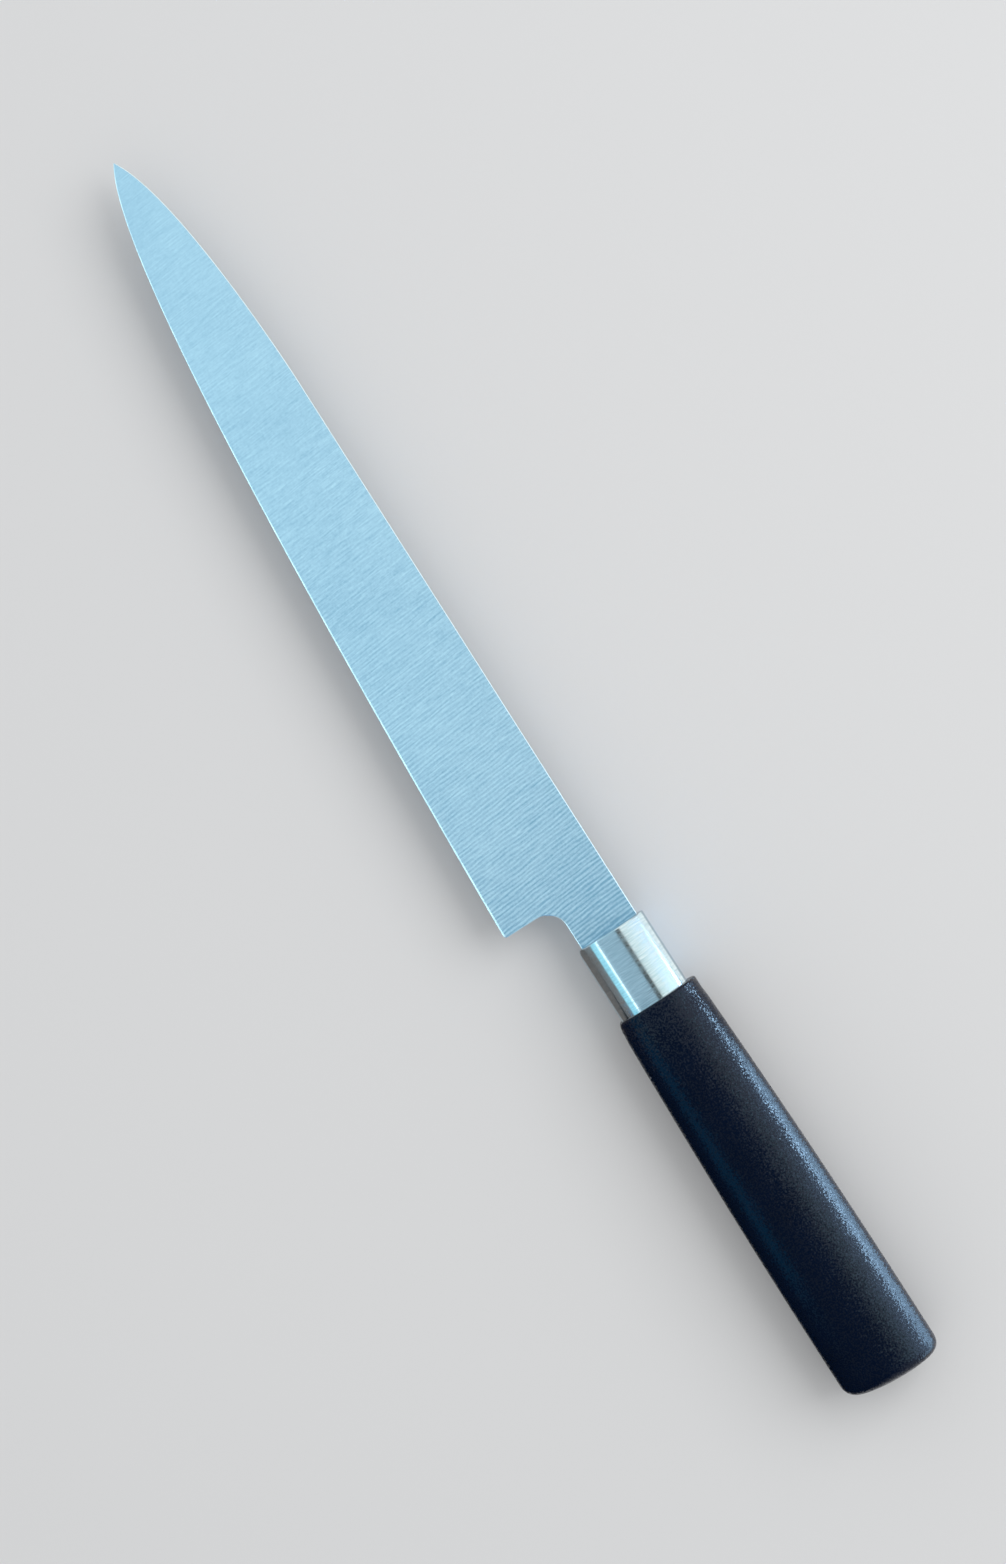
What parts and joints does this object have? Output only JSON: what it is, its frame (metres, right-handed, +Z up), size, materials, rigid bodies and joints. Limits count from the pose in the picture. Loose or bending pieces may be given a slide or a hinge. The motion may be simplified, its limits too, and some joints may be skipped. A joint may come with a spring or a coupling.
{
  "type": "yanagiba knife",
  "caption": "Slicing knife with a long narrow single-bevel blade, a stepped heel, a polished steel ferrule and a black moulded oval handle, lying on its side.",
  "frame": {"origin": "middle of the knife's box in plan, on the plane that the handle lies on", "axes": "+X along the knife to the tip, +Y to the cutting edge, +Z up, out of the flat back of the blade"},
  "size_m": [0.3329, 0.034, 0.0202],
  "materials": {
    "blade_steel": "satin stainless steel, ground across the blade, with a cool blue cast",
    "ferrule_steel": "polished stainless steel with fine lines round the ferrule",
    "seal_compound": "cured sealing compound, matte",
    "handle_plastic": "moulded black plastic with a fine pebble grain",
    "bedding_resin": "cured amber resin"
  },
  "bodies": {
    "root": {"blade": "blade_steel", "ferrule": "ferrule_steel", "neck_seal": "seal_compound", "handle": "handle_plastic", "tang_bedding": "bedding_resin"}
  },
  "joints": []
}
